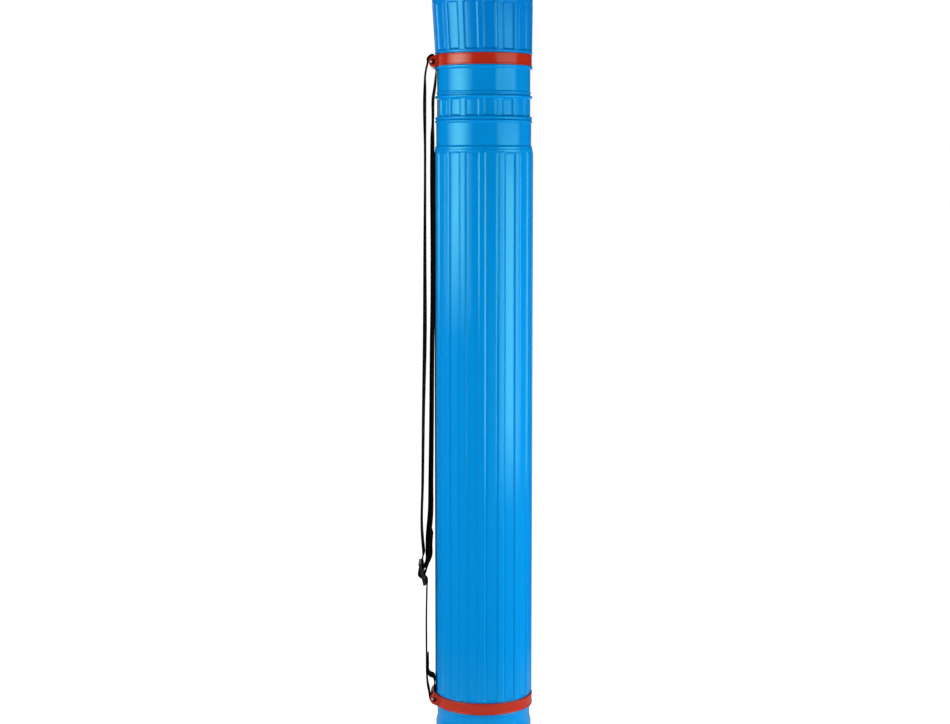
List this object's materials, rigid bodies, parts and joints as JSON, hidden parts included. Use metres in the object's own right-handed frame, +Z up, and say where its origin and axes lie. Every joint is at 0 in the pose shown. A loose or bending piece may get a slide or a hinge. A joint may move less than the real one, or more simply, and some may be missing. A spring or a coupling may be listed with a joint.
{
  "type": "telescopic drawing tube",
  "caption": "Fluted plastic drawing tube whose inner tube slides up to make it longer, with a push-on cap, strap rings with pinned lugs and an adjustable webbing carrying strap.",
  "frame": {"origin": "centre of the flat underside of the outer tube's foot", "axes": "+Z up along the tube's axis towards the cap, front is -Y, the strap runs down the -X side"},
  "size_m": [0.1185, 0.1014, 0.7528],
  "materials": {
    "blue_plastic": "blow-moulded, satin gloss",
    "red_plastic": "injection-moulded, satin gloss",
    "steel_pin": "plain bright steel",
    "black_webbing": "woven flat webbing",
    "black_plastic": "moulded, matte"
  },
  "bodies": {
    "outer": {"outer_tube": "blue_plastic", "lower_strap_ring": "red_plastic", "lower_strap_pin": "steel_pin", "strap_lower_run": "black_webbing"},
    "inner": {"inner_tube": "blue_plastic", "upper_strap_ring": "red_plastic", "upper_strap_pin": "steel_pin", "strap_upper_loop": "black_webbing"},
    "cap": {"cap": "blue_plastic"},
    "slider": {"strap_slider": "black_plastic", "strap_slider_wrap": "black_webbing"}
  },
  "joints": [
    {"name": "tube_extend", "type": "slide", "parent": "outer", "child": "inner", "axis": [0, 0, 1], "range_m": [0, 0.47], "deforming": ["strap_upper_loop"]},
    {"name": "cap_lift", "type": "slide", "parent": "inner", "child": "cap", "axis": [0, 0, 1], "range_m": [0, 0.15]},
    {"name": "slider_slide", "type": "slide", "parent": "outer", "child": "slider", "axis": [0, 0, 1], "range_m": [0, 0.94], "deforming": ["strap_lower_run"]}
  ],
  "couplings": [
    {"joint": "slider_slide", "follows": "tube_extend", "ratio": 2}
  ]
}
